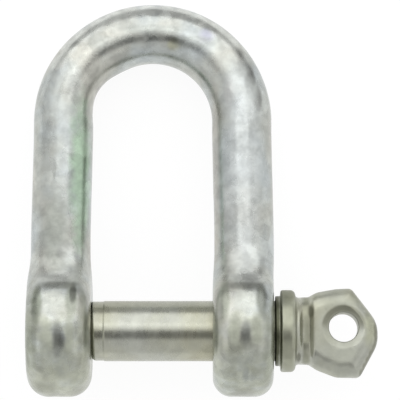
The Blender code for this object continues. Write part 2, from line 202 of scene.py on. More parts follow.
def skin(name: str, rings: np.ndarray, twisted: bool = False) -> Piece:
    """Skin rings of equally many points and close both ends.

    Args:
        name: Name of the new object.
        rings: Points in millimetres, as rings by points by coordinates.
        twisted: True where each face is split along the line that climbs with the ring's points,
            so that the ridges of a thread stay crisp.

    Returns:
        The object, with its faces outward.
    """
    rows, columns = rings.shape[:2]
    index = np.arange(rows * columns).reshape(rows, columns)
    here, beside = index[:-1], np.roll(index[:-1], -1, axis=1)
    above, above_beside = index[1:], np.roll(index[1:], -1, axis=1)
    if twisted:
        lower = np.stack([here, beside, above_beside], axis=-1).reshape(-1, 3)
        upper = np.stack([here, above_beside, above], axis=-1).reshape(-1, 3)
        faces = np.concatenate([lower, upper]).tolist()
    else:
        faces = np.stack([here, beside, above_beside, above], axis=-1).reshape(-1, 4).tolist()
    faces += [index[0, ::-1].tolist(), index[-1].tolist()]
    mesh = bpy.data.meshes.new(name)
    mesh.from_pydata(rings.reshape(-1, 3).tolist(), [], faces)
    return outward(bpy.data.objects.new(name, mesh))


def outward(obj: Piece) -> Piece:
    """Turn every face of the object outward, and return the object."""
    shape = bmesh.new()
    shape.from_mesh(obj.data)
    bmesh.ops.recalc_face_normals(shape, faces=shape.faces)
    shape.to_mesh(obj.data)
    shape.free()
    return obj


def combine(obj: Piece, tool: Piece, cut: Cut) -> None:
    """Combine the object with a tool, and remove the tool.

    Args:
        obj: The object that is changed.
        tool: The solid that is cut away or joined on.
        cut: Which of the two is done.
    """
    linked = bpy.context.scene.collection.objects
    linked.link(obj)
    linked.link(tool)
    boolean = obj.modifiers.new(tool.name, "BOOLEAN")
    boolean.object = tool
    boolean.operation = cut.value
    boolean.solver = "EXACT"
    bpy.context.view_layer.update()
    mesh = bpy.data.meshes.new_from_object(obj.evaluated_get(bpy.context.evaluated_depsgraph_get()))
    obj.modifiers.clear()
    linked.unlink(obj)
    mesh.name = obj.name
    obj.data = mesh
    bpy.data.objects.remove(tool)
    outward(obj)


@dataclass(frozen=True)
class Relief:
    """Unevenness that forging and the zinc bath leave, as depths under the nominal surface.

    Args:
        swell: Depth of the broad unevenness.
        swell_length: Length of one broad wave.
        ripple: Depth of the finer unevenness.
        ripple_length: Length of one fine wave.
        shift: Where in the noise the fine waves are read.
        fade: Length over which the relief fades in, behind its start.
    """

    swell: float
    swell_length: float
    ripple: float
    ripple_length: float
    shift: Triple = (31.0, 7.0, 19.0)
    fade: float = 0.5

    def depth(self, place: Vector) -> float:
        """Give the depth at one place, from 0 to the sum of both depths."""
        broad = 0.5 + 0.5 * noise.noise(place / self.swell_length)
        fine = 0.5 + 0.5 * noise.noise(place / self.ripple_length + Vector(self.shift))
        return self.swell * broad + self.ripple * fine

    def press(self, obj: Piece, start: float = -math.inf) -> None:
        """Press the relief into an object along its vertex normals.

        Args:
            obj: The object whose mesh is moved.
            start: Place along X behind which it is moved.
        """
        mesh = obj.data
        places, normals = np.empty((2, len(mesh.vertices) * 3))
        mesh.vertices.foreach_get("co", places)
        mesh.vertex_normals.foreach_get("vector", normals)
        places, normals = places.reshape(-1, 3), normals.reshape(-1, 3)
        depths = np.array([self.depth(Vector(place)) for place in places])
        if math.isfinite(start):
            depths *= smoothstep(start, start + self.fade, places[:, 0])
        places -= normals * depths[:, None]
        mesh.vertices.foreach_set("co", places.ravel())
        mesh.update()


class NodeBoard:
    """Board on which shader nodes are laid out and wired."""

    def __init__(self, tree: bpy.types.NodeTree) -> None:
        """Take up the node tree of a material or of the world."""
        self.tree = tree

    def add(self, kind: str, label: str, inputs: dict, **settings: object) -> bpy.types.Node:
        """Add one node.

        Args:
            kind: Blender's type of the node, without the ShaderNode that all begin with.
            label: What the node is for.
            inputs: Values or sockets by the name or number of the input.
            settings: Other properties of the node.

        Returns:
            The node.
        """
        node = self.tree.nodes.new("ShaderNode" + kind)
        node.label = label
        for setting, value in settings.items():
            setattr(node, setting, value)
        for key, value in inputs.items():
            self.feed(node.inputs[key], value)
        return node

    def feed(self, socket: Socket, value: object) -> None:
        """Wire a socket to another one, or set its value."""
        if isinstance(value, Socket):
            self.tree.links.new(value, socket)
        else:
            socket.default_value = value

    def vector(self, operation: str, first: object, second: object = (0.0, 0.0, 0.0)) -> Socket:
        """Do arithmetic on one or two vectors, and give the resulting vector or length."""
        node = self.add("VectorMath", operation.lower(), {0: first, 1: second}, operation=operation)
        return node.outputs["Value" if operation in ("LENGTH", "DOT_PRODUCT") else "Vector"]

    def math(self, operation: str, first: object, second: object = 0.0, clamp: bool = False) -> Socket:
        """Do arithmetic on one or two values, and give the result."""
        settings = {"operation": operation, "use_clamp": clamp}
        return self.add("Math", operation.lower(), {0: first, 1: second}, **settings).outputs[0]

    def span(self, label: str, value: object, low: float, high: float, to: Pair = (0.0, 1.0)) -> Socket:
        """Map a value smoothly from one range to another.

        Args:
            label: What the value is for.
            value: The value or its socket.
            low: Start of the range that is read.
            high: End of the range that is read.
            to: Results at those two ends.

        Returns:
            The result's socket.
        """
        inputs = {"Value": value, "From Min": low, "From Max": high, "To Min": to[0], "To Max": to[1]}
        return self.add("MapRange", label, inputs, interpolation_type="SMOOTHSTEP").outputs["Result"]


class MaterialBoard(NodeBoard):
    """Board of one new material."""

    def __init__(self, name: str) -> None:
        """Make the material of that name, with the shader and the output that it starts with."""
        self.material = bpy.data.materials.new(name)
        self.material.use_nodes = True
        super().__init__(self.material.node_tree)
        self.shader = self.tree.nodes["Principled BSDF"]
        self.output = self.tree.nodes["Material Output"]


class PieceBoard(MaterialBoard):
    """Board of the material of one piece, on which places are in the piece's own millimetres."""

    def __init__(self, name: str, lie: Matrix) -> None:
        """Make the material and find the places on the piece.

        Args:
            name: Name of the material.
            lie: Matrix from the piece's millimetres to the frame.
        """
        super().__init__(name)
        frame_place = self.add("TexCoord", "place", {}).outputs["Object"]
        scaled = self.vector("MULTIPLY", frame_place, (1.0 / MM,) * 3)
        inputs = {"Vector": scaled, "Location": lie.translation / MM, "Rotation": lie.to_euler()}
        self.place = self.add("Mapping", "own axes", inputs, vector_type="TEXTURE").outputs["Vector"]

    def grain(
        self, label: str, size: float, detail: float = 2.0, rough: float = 0.5, stretch: Triple | None = None
    ) -> Socket:
        """Lay soft noise over the piece.

        Args:
            label: What the noise is for.
            size: Length of one wave, in millimetres.
            detail: Number of finer layers.
            rough: Weight of the finer layers.
            stretch: Factors of the places along the axes, or nothing.

        Returns:
            The noise, about 0.3 to 0.7.
        """
        place = self.vector("MULTIPLY", self.place, stretch) if stretch else self.place
        inputs = {"Vector": place, "Scale": 1.0 / size, "Detail": detail, "Roughness": rough}
        return self.add("TexNoise", label, inputs).outputs["Fac"]

    def blend(self, label: str, share: object, first: object, second: object, way: str = "MIX") -> Socket:
        """Mix two colours.

        Args:
            label: What the mix is for.
            share: Share of the second colour.
            first: Colour or socket.
            second: Colour or socket.
            way: Blender's name of the way of mixing.

        Returns:
            The mixed colour.
        """
        first, second = ((*part, 1.0) if isinstance(part, tuple) else part for part in (first, second))
        inputs = {0: share, 6: first, 7: second}
        return self.add("Mix", label, inputs, data_type="RGBA", blend_type=way).outputs[2]


@dataclass(frozen=True)
class StainOrPaintedLight:
    """Soft patch of another tint on the zinc, used both for stained zinc and for painted light and shade.

    Args:
        place: Middle of the patch, in millimetres of the piece's axes.
        reach: Half lengths of the patch along the axes.
        tint: Colour of the patch.
        strength: Share of that colour in the middle.
        rougher: What the patch adds to the roughness in its middle.
        ragged: How ragged its edge is.
        ragged_size: Length of one tooth of the ragged edge.
        edge: Distances, in half lengths, at which the patch starts and has its full strength.
    """

    place: Triple
    reach: Triple
    tint: Triple
    strength: float
    rougher: float = 0.0
    ragged: float = 0.8
    ragged_size: float = 2.2
    edge: Pair = (1.45, 0.7)

    def share(self, board: PieceBoard) -> Socket:
        """Give the share of the patch, from 0 outside to 1."""
        scaled = board.vector("DIVIDE", board.vector("SUBTRACT", board.place, self.place), self.reach)
        teeth = board.math("MULTIPLY", board.grain("ragged edge", self.ragged_size, detail=3.0), self.ragged)
        distance = board.math("ADD", board.vector("LENGTH", scaled), teeth)
        return board.span("share of the stain", distance, *self.edge)


@dataclass(frozen=True)
class PaintedRingShade(StainOrPaintedLight):
    """Painted shade in a band along the crown side of a circle in the plane of the bow.

    Args:
        radius: Radius of the circle; its middle is the place of the shade, and the band's half width is
        the first of the half lengths.
        core: Share of the half width that has the full tint.
        fade: Heights over the middle at which the band starts and is complete.
    """

    radius: float = 1.0
    core: float = 0.3
    fade: Pair = (-0.8, 0.9)

    def share(self, board: PieceBoard) -> Socket:
        """Give the share of the ring, from 0 outside to 1."""
        away = board.vector("SUBTRACT", board.place, self.place)
        away = board.vector("MULTIPLY", away, (1.0, 1.0, 0.0))
        off = board.math("ABSOLUTE", board.math("SUBTRACT", board.vector("LENGTH", away), self.radius))
        band = board.span("band", off, self.reach[0], self.core * self.reach[0])
        toward = board.add("SeparateXYZ", "toward the crown", {0: away}).outputs["Y"]
        return board.math("MULTIPLY", band, board.span("crown side", toward, *self.fade))


@dataclass(frozen=True)
class ZincFinish:
    """Zinc left by the galvanising bath, with crystals, cloudy tints, runs, stained patches and painted
    light and shade.

    Args:
        name: Name of the material.
        base: Main colour.
        cool: Tint of the cool clouds.
        warm: Tint of the warm clouds.
        dull: Colour that is mixed in where the surface is hollow, by its pointiness.
        roughness: Mean roughness.
        crystal_size: Width of one zinc crystal, in millimetres.
        crystal_strength: How much one crystal differs from the next.
        grain_size: Width of the finest grain.
        grain_depth: Depth of that grain.
        dimple_size: Width of one shallow dimple.
        dimple_depth: Depth of the dimples.
        run_stretch: Factors that stretch the runs along the axes.
        run_sheen: How much the runs change the roughness, up and down.
        stains_and_painted_light: Patches of another tint, some of stained zinc and some of painted light and
            shade; a later one lies over an earlier one.
        metallic: How metallic the surface is.
        crystal_blend: How softly one crystal passes over into the next.
        cloud_size: Length of one cloud.
        cool_range: Values of the clouds from which and to which they turn cool.
        warm_range: The same for the warm clouds.
        mottle_size: Length of one wave of the mottled shade.
        run_size: Length of one run, before it is stretched.
        hollow_range: Pointiness at which a hollow starts and is deepest; a flat has 0.5.
        hollow_dull: Share of the dull colour there.
    """

    name: str
    base: Triple
    cool: Triple
    warm: Triple
    dull: Triple
    roughness: float
    crystal_size: float
    crystal_strength: float
    grain_size: float
    grain_depth: float
    dimple_size: float
    dimple_depth: float
    run_stretch: Triple
    run_sheen: float
    stains_and_painted_light: tuple[StainOrPaintedLight, ...]
    metallic: float = 0.95
    crystal_blend: float = 0.35
    cloud_size: float = 9.0
    cool_range: Pair = (0.46, 0.68)
    warm_range: Pair = (0.54, 0.32)
    mottle_size: float = 1.6
    run_size: float = 3.0
    hollow_range: Pair = (0.5, 0.44)
    hollow_dull: float = 0.85

    def material(self, lie: Matrix) -> bpy.types.Material:
        """Make the material for a piece.

        Args:
            lie: Matrix from the piece's millimetres to the frame.

        Returns:
            The material.
        """
        board = PieceBoard(self.name, lie)
        crystals = self.crystals(board)
        colour, rough = self.clouds(board), self.sheen(board, crystals)
        # The patches hold both stained zinc and painted light and shade.
        for stain_or_light in self.stains_and_painted_light:
            share = stain_or_light.share(board)
            colour = board.blend("stain_or_light", board.math("MULTIPLY", share, stain_or_light.strength), colour, stain_or_light.tint)
            if stain_or_light.rougher:
                rough = board.math("ADD", rough, board.math("MULTIPLY", share, stain_or_light.rougher))
        inputs = board.shader.inputs
        board.feed(inputs["Base Color"], self.shade(board, colour, crystals))
        board.feed(inputs["Roughness"], board.math("ADD", rough, self.roughness, clamp=True))
        board.feed(inputs["Normal"], self.surface(board))
        inputs["Metallic"].default_value = self.metallic
        return board.material

    def crystals(self, board: PieceBoard) -> Socket:
        """Give each zinc crystal a value of its own, from 0 to 1."""
        scale = 1.0 / self.crystal_size
        waver = board.add("TexNoise", "crystal edges", {"Vector": board.place, "Scale": scale})
        bent = board.vector("ADD", board.place, waver.outputs["Color"])
        inputs = {"Vector": bent, "Scale": scale, "Smoothness": self.crystal_blend}
        cells = board.add("TexVoronoi", "zinc crystals", inputs, feature="SMOOTH_F1")
        return board.math("MULTIPLY", cells.outputs["Color"], 1.0)

    def clouds(self, board: PieceBoard) -> Socket:
        """Mix the main colour with cool and warm clouds."""
        clouds = board.grain("clouds", self.cloud_size, detail=3.0)
        cool = board.span("cool clouds", clouds, *self.cool_range)
        warm = board.span("warm clouds", clouds, *self.warm_range)
        return board.blend("warm", warm, board.blend("cool", cool, self.base, self.cool), self.warm)

    def shade(self, board: PieceBoard, colour: Socket, crystals: Socket) -> Socket:
        """Shade the colour by crystals and mottling, and dull it in hollows.

        Args:
            board: Board of the material.
            colour: The colour with its stained and painted patches.
            crystals: Value of each crystal.

        Returns:
            The final colour.
        """
        limits = (1.0 - self.crystal_strength, 1.0 + self.crystal_strength)
        shade = board.span("crystal shade", crystals, 0.1, 0.9, limits)
        mottle = board.grain("mottle", self.mottle_size, detail=3.0, rough=0.6)
        shade = board.math("MULTIPLY", shade, board.span("mottled shade", mottle, 0.3, 0.7, limits))
        grey = board.add("CombineColor", "shade", {0: shade, 1: shade, 2: shade}).outputs[0]
        colour = board.blend("shaded", 1.0, colour, grey, "MULTIPLY")
        edge = board.add("NewGeometry", "edges and hollows", {}).outputs["Pointiness"]
        hollow = board.span("hollows", edge, *self.hollow_range, (0.0, self.hollow_dull))
        return board.blend("dull hollows", hollow, colour, self.dull)

    def sheen(self, board: PieceBoard, crystals: Socket) -> Socket:
        """Vary the roughness along the runs and from crystal to crystal, about 0."""
        runs = board.grain("runs", self.run_size, stretch=self.run_stretch)
        run_part = board.span("run sheen", runs, 0.3, 0.7, (-self.run_sheen, self.run_sheen))
        sheen = 0.6 * self.run_sheen
        return board.math("ADD", run_part, board.span("crystal sheen", crystals, 0.1, 0.9, (-sheen, sheen)))

    def surface(self, board: PieceBoard) -> Socket:
        """Roughen the surface with grain and shallow dimples."""
        grain = board.grain("grain", self.grain_size, detail=3.0, rough=0.6)
        dimples = board.grain("dimples", self.dimple_size, detail=1.0)
        patches = board.grain("dimpled patches", 5.0 * self.dimple_size, detail=1.0)
        limits = (0.25 * self.dimple_depth, self.dimple_depth)
        deep = board.span("depth of the dimples", patches, 0.4, 0.6, limits)
        fine = board.math("MULTIPLY", grain, self.grain_depth)
        height = board.math("ADD", board.math("MULTIPLY", dimples, deep), fine)
        inputs = {"Height": height, "Strength": 1.0, "Distance": MM}
        return board.add("Bump", "zinc grain", inputs).outputs["Normal"]


@dataclass(frozen=True)
class ThreadForm:
    """Right-hand thread that the pin and the threaded eye share.

    Args:
        pitch: Distance from one ridge to the next.
        crest: Radius over the pin's ridges.
        root: Radius in the pin's grooves.
        crest_share: Share of the pitch that is flat on a ridge.
        root_share: Share of the pitch that is flat in a groove.
        round_share: Share by which the flanks are rounded.
        play: How far the eye's thread stands off the pin's.
        columns: Points round the thread, and rings in one pitch.
    """

    pitch: float = 1.5
    crest: float = 4.9
    root: float = 4.05
    crest_share: float = 0.16
    root_share: float = 0.2
    round_share: float = 0.45
    play: float = 0.1
    columns: int = 64

    def places(self, start: float, end: float) -> np.ndarray:
        """Give the places of the rings from start to end, a whole number of them in one pitch."""
        step = self.pitch / self.columns
        return start + step * np.arange(math.ceil((end - start) / step) + 1)

    def ridge(self, along: np.ndarray) -> np.ndarray:
        """Give how far the thread rises from groove to ridge.

        Args:
            along: Places of the rings, in steps of the pitch divided by the columns.

        Returns:
            The rise from 0 to 1, as rings by points.
        """
        turn = np.arange(self.columns) / self.columns
        off_ridge = np.abs((along[:, None] / self.pitch - turn[None]) % 1.0 - 0.5)
        flat, foot = self.crest_share / 2, 0.5 - self.root_share / 2
        straight = np.clip((foot - off_ridge) / (foot - flat), 0.0, 1.0)
        return (1.0 - self.round_share) * straight + self.round_share * smoothstep(0.0, 1.0, straight)


@dataclass
class Bow:
    """Forged bow: a round bar bent to a D, whose ends swell into a threaded and a plain eye.

    Of the fields that hold several numbers, swell_range is where the bar swells over the pin axis,
    countersink the radius of the threaded bore at its outer and inner mouth, and ring_counts the
    rings of eye, shoulder, foot, leg and bend.
    """

    bar_radius: float = 5.0
    jaw_width: float = 20.0
    bend_height: float = 34.95
    leg_setback: float = 0.25
    leg_lean: float = 0.35
    eye_radius: float = 10.9
    threaded_edge: float = 3.6
    plain_edge: float = 3.1
    eye_fillet: float = 10.0
    swell_range: Pair = (6.8, 13.0)
    bend_thinning: float = 0.6
    thinning_angle: float = 150.0
    thinning_reach: float = 36.0
    threaded_eye: float = 10.7
    plain_eye: float = 10.1
    plain_bore: float = 5.4
    bore_mouth: float = 0.3
    countersink: Pair = (5.25, 5.02)
    tap_reach: float = 0.8
    section_points: int = 120
    outline_samples: int = 300
    end_flat: float = 0.004
    ring_counts: tuple[int, int, int, int, int] = (56, 44, 16, 34, 110)
    thread: ThreadForm = field(default_factory=ThreadForm)
    relief: Relief = Relief(swell=0.07, swell_length=8.0, ripple=0.02, ripple_length=2.4)

    def __post_init__(self) -> None:
        """Work out the sizes that follow from the others."""
        self.jaw_half = self.jaw_width / 2
        self.foot_offset = self.jaw_half + self.leg_setback + self.bar_radius
        self.bend_radius = self.foot_offset - self.leg_lean
        self.fillet_side = self.bar_radius + self.eye_fillet
        self.foot_height = math.sqrt((self.eye_radius + self.eye_fillet) ** 2 - self.fillet_side**2)
        self.fillet_angle = math.atan2(self.fillet_side, self.foot_height)
        self.rim_top = self.eye_radius * math.cos(self.fillet_angle)
        self.crown_height = self.bend_height + self.bend_radius
        self.tilt = math.asin((self.eye_radius - self.bar_radius) / self.crown_height)

    def side_edge(self, height: float) -> float:
        """Give the half width of leg and eye, seen along the pin, at a height over the pin axis."""
        if height <= self.rim_top:
            return math.sqrt(self.eye_radius**2 - height**2)
        if height < self.foot_height:
            drop = self.foot_height - height
            return self.fillet_side - math.sqrt(self.eye_fillet**2 - drop**2)
        return self.bar_radius

    def side_depth(self, height: float, side: np.ndarray) -> np.ndarray:
        """Give depths inside the outline of leg and eye, seen along the pin.

        Args:
            height: Height over the pin axis.
            side: Distances from the plane of the bow.

        Returns:
            The depth at each distance.
        """
        if height >= self.foot_height:
            return self.bar_radius - side
        inside_rim = self.eye_radius - np.hypot(height, side)
        if height <= 0:
            return inside_rim
        off_fillet = np.hypot(self.foot_height - height, self.fillet_side - side) - self.eye_fillet
        return np.where(np.arctan2(side, height) < self.fillet_angle, off_fillet, inside_rim)

    def section(self, height: float, thickness: float, eye_edge: float) -> np.ndarray:
        """Draw the section of eye or leg at one height.

        Args:
            height: Height over the pin axis.
            thickness: Thickness of the eye at the foot of this leg.
            eye_edge: Radius between the faces of that eye and its rim.

        Returns:
            Points as (outward, across) from the middle of the section.
        """
        to_bar = smoothstep(*self.swell_range, height)
        half = thickness / 2 + (self.bar_radius - thickness / 2) * to_bar
        edge_radius = eye_edge + (self.bar_radius - eye_edge) * to_bar
        edge = self.side_edge(height)
        side = edge * np.sin(np.linspace(0.0, QUARTER, self.outline_samples))
        width = rounded_edge(self.side_depth(height, side), half, edge_radius)
        line = np.concatenate([np.stack([width, side], axis=1), [[0.0, edge]]])
        quarter = spread_points(line, self.section_points // 4)
        parts = (quarter, quarter[-2::-1] * (-1, 1), quarter[1:] * (-1, -1), quarter[-2:0:-1] * (1, -1))
        return np.concatenate(parts)

    def heights(self) -> np.ndarray:
        """Give the heights of the rings of one leg, from the bottom of its eye to the bend."""
        first = math.acos(1 - self.end_flat / self.eye_radius)
        angles = np.linspace(first, QUARTER, self.ring_counts[0], endpoint=False)
        stations = (0.0, self.foot_height, self.foot_height + self.bar_radius, self.bend_height)
        runs = [
            np.linspace(start, end, count, endpoint=False)
            for start, end, count in zip(stations, stations[1:], self.ring_counts[1:])
        ]
        return np.concatenate([-self.eye_radius * np.cos(angles), *runs])

    def leg(self, eye: Eye) -> np.ndarray:
        """Draw the rings of one eye and leg, upward.

        Args:
            eye: Which of the two legs.

        Returns:
            The rings, as rings by points by coordinates.
        """
        threaded = eye is Eye.THREADED
        thickness = self.threaded_eye if threaded else self.plain_eye
        edge = self.threaded_edge if threaded else self.plain_edge
        middle = self.jaw_half + thickness / 2
        rings = []
        for height in self.heights():
            foot = smoothstep(*self.swell_range, height)
            lean = smoothstep(self.swell_range[1], self.bend_height, height)
            offset = middle + (self.foot_offset - middle) * foot - self.leg_lean * lean
            section = self.section(height, thickness, edge)
            out = eye.value * (offset + section[:, 0])
            rings.append(np.stack([out, np.full_like(out, height), section[:, 1]], axis=1))
        return np.array(rings)

    def bend(self) -> np.ndarray:
        """Draw the rings of the bend, from the threaded eye's leg over the crown."""
        section = self.section(self.bend_height, 2 * self.bar_radius, self.bar_radius)
        angles = np.linspace(math.pi, 0.0, self.ring_counts[4] + 1)[:, None]
        off = np.minimum(np.abs(np.degrees(angles) - self.thinning_angle) / self.thinning_reach, 1.0)
        thinner = self.bend_thinning / self.bar_radius * np.cos(QUARTER * off) ** 2
        reach = self.bend_radius + section[:, 0] * np.where(section[:, 0] < 0, 1.0 - thinner, 1.0)
        across = np.broadcast_to(section[:, 1], reach.shape)
        return np.stack([reach * np.cos(angles), self.bend_height + reach * np.sin(angles), across], axis=2)

    def plain_bore_tool(self) -> Piece:
        """Make the tool for the plain bore, with rounded mouths."""
        inner, bore, mouth = self.jaw_half, self.plain_bore, self.bore_mouth
        entry = [(inner - TOOL_REACH, NEAR_AXIS), (inner - TOOL_REACH, bore + mouth)]
        for angle in np.linspace(0.0, QUARTER, ARC_STEPS):
            entry.append((inner + mouth * (1 - math.cos(angle)), bore + mouth * (1 - math.sin(angle))))
        far = 2 * inner + self.plain_eye
        profile = np.array(entry + [(far - along, radius) for along, radius in entry[::-1]])
        return skin("plain bore", turned(*profile.T, BORE_COLUMNS))

    def thread_tool(self) -> Piece:
        """Make the tap for the threaded eye, with a countersink at both mouths."""
        thread, inner = self.thread, -self.jaw_half
        outer = inner - self.threaded_eye
        along = thread.places(outer - self.tap_reach, inner + self.tap_reach)
        radius = thread.root + thread.play + (thread.crest - thread.root) * thread.ridge(along)
        mouth = np.maximum(self.countersink[0] - (along - outer), self.countersink[1] - (inner - along))
        radius = np.maximum(radius, mouth[:, None])
        return skin("thread tap", turned(along, radius, thread.columns), twisted=True)

    def build(self) -> Piece:
        """Make the bow as one skin, and cut its bores."""
        rings = np.concatenate([self.leg(Eye.THREADED), self.bend(), self.leg(Eye.PLAIN)[::-1]])
        bow = skin("forged_bow", rings)
        self.relief.press(bow)
        combine(bow, self.plain_bore_tool(), Cut.AWAY)
        combine(bow, self.thread_tool(), Cut.AWAY)
        return bow


@dataclass
class ScrewPin:
    """Screw pin: threaded end, shank, seat, collar and neck in one, with a flattened head.

    Places along the pin are measured from the face of its seat. Of the fields that hold several
    numbers, seat_edges is the rounding at the foot of the seat's face, at its rim and at the collar,
    collar_edge the rounding of the collar towards seat and neck, groove_end where the grooves start to
    fade and are gone, from the inner face of the threaded eye, head_corners the outline of the head as
    (place from the neck's end, place across, rounding), and those named rings are radii.
    """

    shank: float = 5.0
    shank_step: float = 0.15
    shank_margin: float = 0.4
    shank_rings: int = 60
    seat: float = 5.8
    seat_width: float = 0.85
    seat_edges: Triple = (0.2, 0.12, 0.3)
    collar: float = 6.8
    collar_width: float = 2.45
    collar_edge: Pair = (0.35, 0.85)
    closing_rings: tuple[float, ...] = (5.0, 3.5, 2.0, 0.05)
    neck: float = 5.58
    neck_length: float = 2.1
    neck_margin: float = 0.3
    neck_half: float = 4.3
    neck_edge: float = 3.6
    neck_start: float = 0.55
    neck_blend: float = 1.2
    neck_fillet: float = 0.45
    neck_overlap: float = 0.02
    neck_root: float = 0.8
    neck_rings: int = 30
    seat_gap: float = 0.3
    tip_recess: float = 0.5
    tip_flat: float = 3.5
    tip_rings: tuple[float, ...] = (0.05, 1.2, 2.4, 3.3)
    run_out: float = 1.9
    groove_end: Pair = (-0.9, 0.75)
    head_half: float = 2.9
    head_edge: float = 2.7
    head_step: float = 1.05
    head_corners: tuple[Triple, ...] = (
        (1.4, 6.4, 3.0),
        (4.6, 6.98, 3.0),
        (7.2, 7.1, 1.2),
        (11.6, 1.3, 5.0),
        (11.6, -2.2, 5.0),
        (8.5, -7.85, 1.2),
        (4.6, -7.75, 3.0),
        (1.4, -6.55, 3.0),
    )
    head_end: float = 0.004
    spike_hole: float = 2.45
    hole_mouth: float = 0.3
    dish_reach: float = 1.25
    dish_depth: float = 0.32
    dish_slope: float = 25.0
    dish_steps: int = 8
    hole_place: Pair = (5.85, 0.5)
    head_points: int = 120
    head_rings: int = 64
    outline_samples: int = 300
    thread: ThreadForm = field(default_factory=ThreadForm)
    relief: Relief = Relief(swell=0.05, swell_length=5.0, ripple=0.02, ripple_length=1.8)
    relief_start: float = 0.2

    def __post_init__(self) -> None:
        """Work out the places that follow from the sizes."""
        self.collar_end = self.seat_width + self.collar_width
        self.neck_end = self.collar_end + self.neck_length
        self.nose_tip = self.neck_end + max(corner[0] for corner in self.head_corners)

    def seat_place(self, bow: Bow) -> float:
        """Give the place of the seat's face along the pin axis, from the middle of the jaw."""
        return bow.jaw_half + bow.plain_eye + self.seat_gap

    def turned_part(self, bow: Bow) -> Piece:
        """Make threaded end, shank, seat and collar.

        Args:
            bow: The bow that the pin closes.

        Returns:
            The object, closed behind the collar.
        """
        thread, seat_place, margin = self.thread, self.seat_place(bow), self.shank_margin
        tip = -(seat_place + bow.jaw_half + bow.threaded_eye - self.tip_recess)
        face = -(seat_place + bow.jaw_half)
        along = thread.places(tip, face + self.run_out)
        fade = 1.0 - smoothstep(face + self.groove_end[0], face + self.groove_end[1], along)
        groove = (thread.crest - thread.root) * (1.0 - thread.ridge(along + seat_place)) * fade[:, None]
        radius = np.minimum(thread.crest - groove, (self.tip_flat + along - tip)[:, None])
        tip_cap = [(tip, ring) for ring in self.tip_rings]
        places = np.linspace(along[-1] + margin, -margin, self.shank_rings)
        shank = [(along[-1] + self.shank_step, self.shank), *((place, self.shank) for place in places)]
        corners = [
            (-margin, self.shank, 0.0),
            (0.0, self.shank, self.seat_edges[0]),
            (0.0, self.seat, self.seat_edges[1]),
            (self.seat_width, self.seat, self.seat_edges[2]),
            (self.seat_width, self.collar, self.collar_edge[0]),
            (self.collar_end, self.collar, self.collar_edge[1]),
            (self.collar_end, self.neck + self.neck_margin, 0.0),
        ]
        body = rounded_outline(corners, step=math.radians(9))
        closing = [(self.collar_end, ring) for ring in self.closing_rings]
        parts = [
            turned(*np.array(tip_cap).T, thread.columns),
            turned(along, radius, thread.columns),
            turned(*np.array(shank + body[1:] + closing).T, thread.columns),
        ]
        return skin("screw_pin_forging", np.concatenate(parts), twisted=True)

    def head_outline(self) -> np.ndarray:
        """Draw the flattened head in the plane of the bow, from the neck round the nose and back."""
        corners = [(self.neck_end + x, y, radius) for x, y, radius in self.head_corners]
        start = [(0.0, self.neck, 0.0), (self.neck_end, self.neck, 1.0)]
        end = [(self.neck_end, -self.neck, 1.0), (0.0, -self.neck, 0.0)]
        return np.array(rounded_outline(start + corners + end))

    def outline_depth(self, outline: np.ndarray, x: float, heights: np.ndarray) -> np.ndarray:
        """Measure how deep places of one section lie inside the head's outline.

        Args:
            outline: Points of the outline.
            x: Place of the section along the pin.
            heights: Places on the section.

        Returns:
            The depth of each place.
        """
        start, span = outline[:-1], np.diff(outline, axis=0)
        offset = np.stack([np.full_like(heights, x), heights], axis=1)[:, None, :] - start[None]
        share = np.clip((offset * span).sum(axis=2) / (span * span).sum(axis=1), 0.0, 1.0)
        gap = offset - share[..., None] * span
        return np.hypot(gap[..., 0], gap[..., 1]).min(axis=1)

    def plate(self, x: float) -> Pair:
        """Give half thickness and edge radius at a place: round at the collar, flat in the head."""
        to_neck = smoothstep(self.collar_end + self.neck_fillet, self.collar_end + self.neck_blend, x)
        to_head = smoothstep(self.neck_end, self.neck_end + self.head_step, x)
        half = self.neck + (self.neck_half - self.neck) * to_neck
        edge = self.neck + (self.neck_edge - self.neck) * to_neck
        return half + (self.head_half - half) * to_head, edge + (self.head_edge - edge) * to_head

    def head_section(self, outline: np.ndarray, x: float) -> np.ndarray:
        """Draw the ring of neck or head at one place along the pin.

        Args:
            outline: Points of the head's outline.
            x: The place.

        Returns:
            The points of the ring.
        """
        first, second = outline[:-1], outline[1:]
        crosses = (np.minimum(first[:, 0], second[:, 0]) <= x) & (x < np.maximum(first[:, 0], second[:, 0]))
        first, second = first[crosses], second[crosses]
        way = second - first
        levels = first[:, 1] + way[:, 1] * (x - first[:, 0]) / way[:, 0]
        top, bottom = levels.max(), levels.min()
        angles = np.linspace(0.0, math.pi, self.outline_samples)
        heights = (top + bottom) / 2 + (top - bottom) / 2 * np.cos(angles)
        depths = self.outline_depth(outline, x, heights)
        depths[[0, -1]] = 0.0
        faces = rounded_edge(depths, *self.plate(x))
        line = np.concatenate([[[top, 0.0]], np.stack([heights, faces], axis=1), [[bottom, 0.0]]])
        upper = spread_points(line, self.head_points // 2, corner_share=0.4)
        section = np.concatenate([upper, upper[-2:0:-1] * (1, -1)])
        return np.column_stack([np.full(len(section), x), section])

    def head_part(self) -> Piece:
        """Make neck and head: round at the collar, then over a step to the flat, and on to the nose."""
        fillet, radius, start = self.neck_fillet, self.neck, self.collar_end - self.neck_overlap
        neck = [(self.collar_end - self.neck_root, radius + fillet)]
        for angle in np.linspace(0.0, QUARTER, ARC_STEPS - 1):
            neck.append((start + fillet * (1 - math.cos(angle)), radius + fillet * (1 - math.sin(angle))))
        step_end = self.neck_end + self.head_step
        reach = self.nose_tip - self.head_end - step_end
        step = np.linspace(self.collar_end + self.neck_start, step_end, self.neck_rings)
        flat = step_end + reach * np.sin(np.linspace(0.0, QUARTER, self.head_rings + 1)[1:])
        outline = self.head_outline()
        sections = [self.head_section(outline, x) for x in (*step, *flat)]
        return skin("head", np.concatenate([turned(*np.array(neck).T, self.head_points), sections]))

